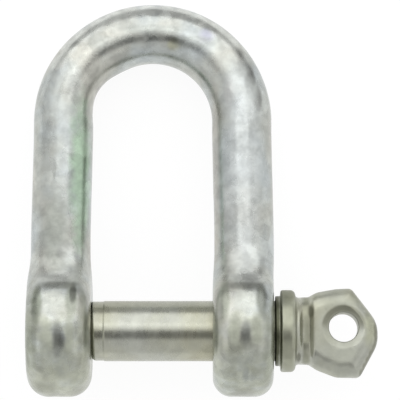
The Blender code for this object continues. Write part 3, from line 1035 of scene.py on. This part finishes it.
    def hole_tool(self) -> Piece:
        """Make the tool for the spike hole, with a shallow dish round each rounded mouth."""
        top = self.head_half + TOOL_REACH
        dish_start = self.spike_hole + self.hole_mouth
        dish_end = dish_start + self.dish_reach
        upper = [(top, NEAR_AXIS), (top, dish_end)]
        for share in np.linspace(0.0, 1.0, self.dish_steps, endpoint=False):
            upper.append((self.head_half - self.dish_depth * share**2, dish_end - self.dish_reach * share))
        for angle in np.linspace(math.radians(self.dish_slope), QUARTER, ARC_STEPS):
            depth = self.dish_depth + self.hole_mouth * (1 - math.cos(angle))
            upper.append((self.head_half - depth, dish_start - self.hole_mouth * math.sin(angle)))
        profile = np.array(upper + [(-along, radius) for along, radius in upper[::-1]])
        rings = turned(*profile.T, BORE_COLUMNS)[:, :, (1, 2, 0)]
        middle = (self.neck_end + self.hole_place[0], self.hole_place[1], 0.0)
        return skin("spike hole", rings + np.array(middle))

    def build(self, bow: Bow) -> Piece:
        """Make the pin as one solid.

        Args:
            bow: The bow that the pin closes.

        Returns:
            The pin, with its origin on the face of its seat.
        """
        pin, head = self.turned_part(bow), self.head_part()
        self.relief.press(head, self.collar_end + self.relief_start)
        combine(pin, head, Cut.TOGETHER)
        combine(pin, self.hole_tool(), Cut.AWAY)
        return pin


def sheet(name: str, low: Triple, high: Triple) -> Piece:
    """Make one flat sheet and link it to the scene.

    Args:
        name: Name of the sheet.
        low: One corner, in metres.
        high: The opposite corner; the sheet stands upright where they share their Y.

    Returns:
        The object.
    """
    (x0, y0, z0), (x1, y1, z1) = low, high
    mesh = bpy.data.meshes.new(name)
    mesh.from_pydata([low, (x1, y0, z0), high, (x0, y1, z1)], [], [(0, 1, 2, 3)])
    obj = bpy.data.objects.new(name, mesh)
    bpy.context.scene.collection.objects.link(obj)
    return obj


@dataclass(frozen=True)
class Softbox:
    """Rectangular lamp that faces the middle of the shackle.

    Args:
        name: Name of the lamp.
        tilt: Angle from straight above towards +Y, in degrees.
        pan: Angle from straight above towards +X, in degrees.
        width: Length along X, in metres.
        height: Length across, in metres.
        glow: Brightness of its face, where 1 is white.
        distance: Distance from the shackle, in metres.
    """

    name: str
    tilt: float
    pan: float
    width: float
    height: float
    glow: float
    distance: float = 0.62

    def hang(self) -> None:
        """Hang the lamp."""
        lamp = bpy.data.lights.new(self.name, "AREA")
        lamp.shape = "RECTANGLE"
        lamp.size, lamp.size_y = self.width, self.height
        lamp.energy = self.glow * math.pi * self.width * self.height
        obj = bpy.data.objects.new(self.name, lamp)
        pan = Matrix.Rotation(math.radians(self.pan), 4, "Y")
        tilt = Matrix.Rotation(-math.radians(self.tilt), 4, "X")
        obj.matrix_world = pan @ tilt @ Matrix.Translation((0.0, 0.0, self.distance))
        obj.visible_camera = False
        bpy.context.scene.collection.objects.link(obj)


@dataclass(frozen=True)
class Card:
    """Grey card that only the zinc sees, in its mirror images.

    Args:
        name: Name of the card.
        low: One corner, in metres.
        high: The opposite corner.
        grey: Its brightness.
    """

    name: str
    low: Triple
    high: Triple
    grey: float = 0.45

    def place(self) -> None:
        """Put the card in its place."""
        card = sheet(self.name, self.low, self.high)
        board = MaterialBoard(self.name)
        glow = board.add("Emission", "grey", {"Strength": self.grey})
        board.feed(board.output.inputs["Surface"], glow.outputs["Emission"])
        card.data.materials.append(board.material)
        card.visible_camera = False
        card.visible_diffuse = False
        card.visible_shadow = False


@dataclass
class Studio:
    """Pale floor, soft light all round with a dark ceiling over the camera, softboxes, cards and camera.

    Of the fields that hold two numbers, ceiling_reach gives the angles at which the ceiling starts to
    lighten and is as bright as the surround, and camera_place is where the camera stands.
    """

    softboxes: tuple[Softbox, ...] = (
        Softbox("crown_softbox", tilt=54.0, pan=-2.0, width=1.36, height=0.8, glow=0.8),
        Softbox("overhead_strip", tilt=16.0, pan=0.0, width=0.54, height=0.28, glow=0.66),
        Softbox("side_fill", tilt=14.0, pan=68.0, width=0.5, height=0.4, glow=0.22),
        Softbox("left_fill", tilt=-17.0, pan=-40.0, width=0.32, height=0.3, glow=0.25),
        Softbox("right_fill", tilt=-17.0, pan=40.0, width=0.32, height=0.3, glow=0.25),
    )
    cards: tuple[Card, ...] = (
        Card("floor_card", (-0.35, 0.046, 0.0005), (0.35, 0.35, 0.0005)),
        Card("low_card", (-0.35, 0.352, 0.0), (0.35, 0.352, 0.06)),
        Card("upright_card", (-0.15, 0.35, 0.0), (0.15, 0.35, 0.105)),
    )
    surround: float = 0.98
    ceiling: float = 0.17
    ceiling_tilt: float = -9.0
    ceiling_reach: Pair = (12.0, 24.0)
    floor_half: float = 30.0
    floor_grey: float = 0.8
    floor_rough: float = 0.9
    floor_white: float = 1.06
    shadow_share: float = 0.14
    camera_height: float = 0.4845
    camera_place: Pair = (-0.000436, -0.00006)
    lens: float = 257.0
    sensor: float = 36.0
    clip_start: float = 0.01

    def lay_floor(self) -> None:
        """Lay the floor, which shows white and keeps a faint shadow."""
        reach = self.floor_half
        floor = sheet("floor", (-reach, -reach, 0.0), (reach, reach, 0.0))
        floor.data.materials.append(self.floor_material())

    def floor_material(self) -> bpy.types.Material:
        """Make the floor's material."""
        board = MaterialBoard("pale_floor")
        board.shader.inputs["Base Color"].default_value = (*(self.floor_grey,) * 3, 1.0)
        board.shader.inputs["Roughness"].default_value = self.floor_rough
        rays = board.add("LightPath", "rays", {})
        seen = board.math("MAXIMUM", rays.outputs["Is Camera Ray"], rays.outputs["Is Glossy Ray"])
        seen = board.math("MAXIMUM", seen, rays.outputs["Is Transmission Ray"])
        share = board.math("MULTIPLY", seen, 1.0 - self.shadow_share)
        white = board.add("Emission", "background white", {"Strength": self.floor_white})
        inputs = {0: share, 1: board.shader.outputs["BSDF"], 2: white.outputs["Emission"]}
        mixed = board.add("MixShader", "floor", inputs)
        board.feed(board.output.inputs["Surface"], mixed.outputs["Shader"])
        return board.material

    def set_surround(self) -> None:
        """Light the room softly from all sides, with a dark ceiling round the camera."""
        world = bpy.data.worlds.new("room")
        bpy.context.scene.world = world
        world.use_nodes = True
        board = NodeBoard(world.node_tree)
        board.tree.nodes.clear()
        tilt = math.radians(self.ceiling_tilt)
        direction = board.add("TexCoord", "direction", {}).outputs["Generated"]
        toward = board.vector("DOT_PRODUCT", direction, (0.0, math.sin(tilt), math.cos(tilt)))
        near, far = (math.cos(math.radians(angle)) for angle in self.ceiling_reach)
        light = board.span("ceiling", toward, far, near, (self.surround, self.ceiling))
        glow = board.add("Background", "room", {"Strength": light})
        board.add("OutputWorld", "output", {"Surface": glow.outputs["Background"]})

    def place_camera(self) -> None:
        """Place the camera straight above the shackle, with the crown of the bow up."""
        scene = bpy.context.scene
        lens = bpy.data.cameras.new("camera")
        lens.lens = self.lens
        lens.sensor_width = self.sensor
        lens.sensor_fit = "HORIZONTAL"
        lens.clip_start = self.clip_start
        camera = bpy.data.objects.new("camera", lens)
        camera.location = (*self.camera_place, self.camera_height)
        scene.collection.objects.link(camera)
        scene.camera = camera

    def build(self) -> None:
        """Set up floor, light and camera."""
        self.lay_floor()
        self.set_surround()
        for softbox in self.softboxes:
            softbox.hang()
        for card in self.cards:
            card.place()
        self.place_camera()
        bpy.context.scene.view_settings.view_transform = "Standard"


def stain_or_light_trail(places: Places, reach: Triple, tint: Triple, strength: float) -> tuple[StainOrPaintedLight, ...]:
    """Lay one equal patch with an even edge at each of several places; it serves stained marks as well as
    painted light.
    """
    return tuple(StainOrPaintedLight(place, reach, tint, strength, ragged=0.25) for place in places)


def arc_places(radius: float, turn: Pair, count: int, level: float = 3.4) -> Places:
    """Give places on the upper side of the bend.

    Args:
        radius: Their distance from the middle of the bend.
        turn: First and last angle from the crown towards +X, in degrees.
        count: Number of places.
        level: Their height over the plane of the bow.

    Returns:
        The places.
    """
    angles = np.radians(np.linspace(*turn, count)).tolist()
    middle = Bow.bend_height
    return tuple((radius * math.sin(angle), middle + radius * math.cos(angle), level) for angle in angles)


def line_places(start: Triple, end: Triple, count: int) -> Places:
    """Give evenly spaced places on a straight line."""
    return tuple(tuple(place) for place in np.linspace(start, end, count).tolist())


BOW_ZINC = ZincFinish(
    name="galvanised_forging",
    base=(0.475, 0.495, 0.465),
    cool=(0.48, 0.515, 0.515),
    warm=(0.475, 0.475, 0.43),
    dull=(0.24, 0.25, 0.22),
    roughness=0.27,
    crystal_size=2.4,
    crystal_strength=0.1,
    grain_size=0.35,
    grain_depth=0.012,
    dimple_size=1.7,
    dimple_depth=0.016,
    run_stretch=(1.0, 0.3, 1.0),
    run_sheen=0.06,
    stains_and_painted_light=(
        StainOrPaintedLight((-12.1, 26.5, 3.0), (2.3, 17.5, 4.0), (0.405, 0.535, 0.40), 0.9),
        StainOrPaintedLight((-15.4, -4.5, 0.0), (12.0, 12.5, 18.0), (0.415, 0.432, 0.35), 0.9),
        StainOrPaintedLight((15.2, -4.5, 0.0), (12.0, 12.5, 18.0), (0.415, 0.432, 0.35), 0.9),
        StainOrPaintedLight((-20.3, -1.0, 5.0), (2.5, 10.0, 10.0), (0.30, 0.32, 0.26), 0.85),
        StainOrPaintedLight((19.3, -1.0, 5.0), (2.4, 10.0, 10.0), (0.30, 0.32, 0.26), 0.85),
        StainOrPaintedLight((-11.2, -1.0, 7.0), (1.6, 9.0, 8.0), (0.34, 0.35, 0.28), 0.7),
        StainOrPaintedLight((-14.9, 11.2, 9.0), (6.0, 3.0, 6.0), (0.44, 0.455, 0.42), 0.5, rougher=0.25),
        StainOrPaintedLight((14.9, 11.4, 9.0), (6.0, 3.0, 6.0), (0.46, 0.475, 0.45), 0.5, rougher=0.2),
        StainOrPaintedLight((-15.9, 16.2, 5.0), (3.0, 8.0, 5.0), (0.38, 0.40, 0.365), 0.8, rougher=0.3),
        # These four patches paint a dark reflection line along the outer side of the right arm of the bend.
        StainOrPaintedLight((16.3, 42.2, 4.5), (1.1, 3.6, 3.0), (0.22, 0.22, 0.20), 0.75),
        StainOrPaintedLight((14.7, 45.6, 4.5), (1.0, 2.4, 3.0), (0.23, 0.23, 0.21), 0.7),
        StainOrPaintedLight((16.2, 41.4, 4.2), (0.95, 2.2, 3.0), (0.09, 0.09, 0.08), 0.85, ragged=0.3),
        StainOrPaintedLight((17.5, 38.2, 4.2), (0.8, 2.4, 3.0), (0.16, 0.16, 0.15), 0.75, ragged=0.4),
        StainOrPaintedLight((-17.6, -9.3, 4.0), (3.2, 1.9, 5.0), (0.31, 0.32, 0.26), 0.7),
        StainOrPaintedLight((15.2, -10.4, 2.5), (3.2, 1.3, 4.0), (0.30, 0.31, 0.26), 0.7),
        # These two patches paint shade that dims the highlight on the shoulder above each eye.
        StainOrPaintedLight((15.4, 14.2, 5.0), (1.5, 3.8, 4.0), (0.34, 0.355, 0.34), 0.65),
        StainOrPaintedLight((-14.3, 12.9, 5.2), (2.0, 2.2, 4.0), (0.37, 0.38, 0.36), 0.65),
        StainOrPaintedLight((12.7, 39.4, 4.5), (1.4, 3.6, 4.0), (0.62, 0.63, 0.61), 0.75),
        StainOrPaintedLight((12.6, 20.2, 4.5), (1.2, 4.2, 4.0), (0.60, 0.62, 0.60), 0.7),
        StainOrPaintedLight((-13.0, 40.4, 4.5), (1.8, 4.0, 4.0), (0.57, 0.59, 0.56), 0.6),
        # Painted highlight: a trail of pale patches along the upper outer side of the bend.
        *stain_or_light_trail(arc_places(18.6, (-58.0, 44.0), 12), (1.6, 1.6, 2.6), (0.68, 0.70, 0.66), 0.75),
        # Rougher zinc beside the dark reflection in the middle of the threaded eye's rim; the roughness is
        # real, its paler tint is painted light.
        StainOrPaintedLight((-17.1, -1.6, 10.0), (1.6, 3.8, 4.0), (0.48, 0.50, 0.42), 0.9, rougher=0.35),
        StainOrPaintedLight((-13.4, -1.4, 10.0), (1.2, 3.4, 4.0), (0.46, 0.48, 0.40), 0.8, rougher=0.3),
        # Painted highlights on the bright patch of each eye rim.
        StainOrPaintedLight((-16.0, 4.2, 9.5), (2.0, 2.3, 4.0), (0.56, 0.58, 0.53), 0.7, ragged=0.4),
        StainOrPaintedLight((15.4, 4.2, 9.5), (2.0, 2.3, 4.0), (0.56, 0.58, 0.53), 0.7, ragged=0.4),
        # Painted shade that narrows the bright patch of each eye rim at its sides.
        StainOrPaintedLight((-13.0, 4.6, 10.0), (1.0, 3.8, 4.0), (0.27, 0.29, 0.24), 0.75, ragged=0.3),
        StainOrPaintedLight((-12.8, 5.5, 9.2), (0.6, 1.7, 3.0), (0.10, 0.105, 0.09), 0.8, ragged=0.2),
        StainOrPaintedLight((-18.7, 3.6, 9.0), (1.0, 3.6, 4.0), (0.21, 0.23, 0.18), 0.8, ragged=0.4),
        StainOrPaintedLight((17.95, 4.4, 9.0), (1.0, 3.4, 4.0), (0.17, 0.18, 0.15), 0.8, ragged=0.3),
        StainOrPaintedLight((12.0, 4.4, 9.0), (0.9, 3.8, 4.0), (0.24, 0.26, 0.21), 0.7, ragged=0.4),
        # Painted highlight in a band above the bright patch of each eye rim.
        StainOrPaintedLight((-15.2, 8.3, 7.5), (3.6, 1.2, 4.0), (0.66, 0.68, 0.64), 0.8, ragged=0.3),
        StainOrPaintedLight((15.4, 8.3, 7.5), (3.4, 1.2, 4.0), (0.66, 0.68, 0.64), 0.8, ragged=0.3),
        # Painted shade in a thin line along the top edge of that bright patch.
        StainOrPaintedLight((-15.3, 6.9, 8.0), (3.1, 0.7, 4.0), (0.26, 0.27, 0.24), 0.7, ragged=0.3),
        StainOrPaintedLight((15.2, 6.8, 8.0), (2.9, 0.7, 4.0), (0.28, 0.29, 0.26), 0.6, ragged=0.3),
        # Rougher zinc beside the dark reflection in the middle of the plain eye's rim; the roughness is
        # real, its paler tint is painted light.
        StainOrPaintedLight((13.4, -0.6, 10.0), (1.5, 3.4, 4.0), (0.46, 0.48, 0.40), 0.8, rougher=0.3),
        StainOrPaintedLight((17.2, -0.6, 10.0), (1.4, 3.4, 4.0), (0.46, 0.48, 0.40), 0.8, rougher=0.3),
        StainOrPaintedLight((10.4, 27.0, 2.0), (1.3, 22.0, 4.0), (0.40, 0.38, 0.34), 0.6),
        # Painted dark reflection in the middle of each eye rim.
        StainOrPaintedLight((-15.2, -2.1, 10.0), (0.95, 3.3, 4.0), (0.25, 0.26, 0.24), 0.65, ragged=0.4),
        StainOrPaintedLight((15.35, -0.9, 10.0), (0.85, 2.2, 4.0), (0.26, 0.27, 0.25), 0.6, ragged=0.4),
        StainOrPaintedLight((15.4, -7.8, 8.0), (0.8, 1.7, 4.0), (0.30, 0.32, 0.30), 0.7),
        StainOrPaintedLight((3.6, 47.6, 4.0), (1.6, 1.4, 2.5), (0.40, 0.40, 0.27), 0.7),
        StainOrPaintedLight((9.0, 48.8, 4.0), (1.7, 1.7, 3.0), (0.43, 0.43, 0.53), 0.7),
        StainOrPaintedLight((-16.9, 47.0, 3.0), (1.7, 2.5, 3.0), (0.48, 0.44, 0.34), 0.6),
        # Painted dark reflection along the top of the crown.
        StainOrPaintedLight((0.0, 49.9, 4.8), (5.0, 0.8, 3.0), (0.36, 0.38, 0.355), 0.7, ragged=0.3),
        StainOrPaintedLight((7.0, 47.7, 4.8), (3.4, 1.2, 3.0), (0.38, 0.40, 0.375), 0.6, ragged=0.3),
        StainOrPaintedLight((-7.6, 47.6, 4.8), (3.4, 1.2, 3.0), (0.40, 0.42, 0.395), 0.5, ragged=0.3),
        # More painted dark reflection on the outer side of the right arm.
        StainOrPaintedLight((15.2, 43.4, 4.5), (1.6, 2.0, 3.0), (0.27, 0.28, 0.26), 0.75),
        StainOrPaintedLight((16.6, 39.8, 4.5), (1.4, 3.4, 3.0), (0.33, 0.35, 0.33), 0.75),
        StainOrPaintedLight((15.2, 26.0, 5.0), (3.2, 21.0, 4.0), (0.54, 0.565, 0.56), 0.6, ragged=0.4),
    ),
)
PIN_ZINC = ZincFinish(
    name="passivated_pin",
    base=(0.435, 0.44, 0.365),
    cool=(0.44, 0.45, 0.40),
    warm=(0.41, 0.405, 0.31),
    dull=(0.2, 0.2, 0.15),
    roughness=0.28,
    crystal_size=1.8,
    crystal_strength=0.05,
    grain_size=0.3,
    grain_depth=0.003,
    dimple_size=1.4,
    dimple_depth=0.003,
    run_stretch=(4.0, 0.6, 0.6),
    run_sheen=0.018,
    stains_and_painted_light=(
        StainOrPaintedLight((10.5, 0.0, 0.0), (6.0, 14.0, 14.0), (0.375, 0.385, 0.315), 0.5, rougher=0.2),
        StainOrPaintedLight((2.1, 0.0, 0.0), (2.0, 30.0, 30.0), (0.34, 0.35, 0.27), 0.9, rougher=0.1),
        # Painted shade over the step from the neck down to the flat head.
        StainOrPaintedLight((5.0, 0.0, 0.0), (0.85, 30.0, 30.0), (0.27, 0.275, 0.21), 0.8, rougher=0.1),
        # Painted shade on the collar's side towards the crown.
        StainOrPaintedLight((2.1, 6.4, 3.5), (1.6, 1.9, 6.0), (0.22, 0.225, 0.165), 0.7, rougher=0.1, ragged=0.2),
        # Painted dark reflection in a line along the shank's side towards the crown.
        StainOrPaintedLight((-18.0, 4.5, 2.2), (20.0, 0.9, 3.0), (0.33, 0.335, 0.27), 0.55, ragged=0.2),
        StainOrPaintedLight((15.6, 0.2, 1.5), (1.6, 4.5, 4.0), (0.39, 0.40, 0.285), 0.7),
        StainOrPaintedLight((5.75, -3.2, 4.0), (0.8, 1.4, 3.0), (0.50, 0.505, 0.42), 0.7, ragged=0.3),
        StainOrPaintedLight((3.75, -4.6, 4.0), (0.4, 0.8, 4.0), (0.10, 0.10, 0.07), 0.7, ragged=0.3),
        *stain_or_light_trail(
            line_places((13.1, 6.1, 0.0), (16.3, 2.0, 0.0), 5),
            (0.65, 0.8, 9.0),
            (0.26, 0.265, 0.205),
            0.55,
        ),
        # Painted shadow over the seat, in the gap between the plain eye and the collar.
        StainOrPaintedLight((0.15, 0.0, 0.0), (0.68, 30.0, 30.0), (0.115, 0.12, 0.08), 1.0, rougher=0.1),
        # Painted shade at the step from the neck to the flat head.
        StainOrPaintedLight((5.5, -0.5, 4.0), (0.7, 5.5, 3.0), (0.24, 0.24, 0.18), 0.35),
        StainOrPaintedLight((5.85, 3.0, 4.0), (0.75, 1.5, 3.0), (0.10, 0.10, 0.07), 0.75, rougher=0.1),
        # Painted shade round the upper side of the spike hole's mouth.
        PaintedRingShade((11.25, 0.5, 0.0), (0.75, 0.75, 0.75), (0.17, 0.17, 0.12), 0.6, radius=3.15),
        *stain_or_light_trail(
            line_places((16.75, 1.6, 0.0), (16.75, -2.0, 0.0), 4)
            + line_places((16.4, -3.0, 0.0), (14.3, -7.2, 0.0), 5),
            (0.55, 0.9, 9.0),
            (0.15, 0.15, 0.11),
            0.7,
        ),
    ),
)


@dataclass
class Shackle:
    """The closed shackle, which lies on both eye rims and on the crown of its bow."""

    bow: Bow = field(default_factory=Bow)
    pin: ScrewPin = field(default_factory=ScrewPin)
    sharp: float = 40.0

    def lay(self, along: float) -> Matrix:
        """Give the matrix that lays a piece of the shackle down.

        Args:
            along: Place of the piece's own origin along the pin, in millimetres.

        Returns:
            The matrix from the piece's millimetres to the frame's metres.
        """
        bow = self.bow
        nose = self.pin.seat_place(bow) + self.pin.nose_tip
        left = -bow.jaw_half - bow.threaded_eye
        crown = bow.crown_height * math.cos(bow.tilt) + bow.bar_radius
        middle = Vector((-(nose + left) / 2, -(crown - bow.eye_radius) / 2, bow.eye_radius))
        turn = Matrix.Rotation(-bow.tilt, 4, "X")
        return Matrix.Scale(MM, 4) @ Matrix.Translation(middle) @ turn @ Matrix.Translation((along, 0, 0))

    def fit(self, piece: Piece, finish: ZincFinish, along: float, body: str, node: str) -> None:
        """Dress a piece, lay it down, and let it ride on its body and stand for its solid.

        Args:
            piece: The piece, in its own millimetres.
            finish: Its finish.
            along: Place of its origin along the pin, in millimetres.
            body: Body that it moves with.
            node: Solid that it stands for.
        """
        lie = self.lay(along)
        piece.data.materials.clear()
        piece.data.materials.append(finish.material(lie))
        piece.data.shade_smooth()
        piece.data.set_sharp_from_angle(angle=math.radians(self.sharp))
        piece.data.transform(lie)
        bpy.context.scene.collection.objects.link(piece)
        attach(piece, body)
        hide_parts(node)
        piece.data.calc_loop_triangles()
        LOG.info("%s: %d triangles, rides on %s", piece.name, len(piece.data.loop_triangles), body)

    def build(self) -> None:
        """Build and dress the bow and the pin."""
        self.fit(self.bow.build(), BOW_ZINC, 0.0, "bow", "shackle_body")
        seat = self.pin.seat_place(self.bow)
        self.fit(self.pin.build(self.bow), PIN_ZINC, seat, "pin", "screw_pin")


def main() -> None:
    """Build the shackle and the studio."""
    logging.basicConfig(level=logging.INFO, format="%(name)s %(message)s")
    Shackle().build()
    Studio().build()


if __name__ == "__main__":
    main()
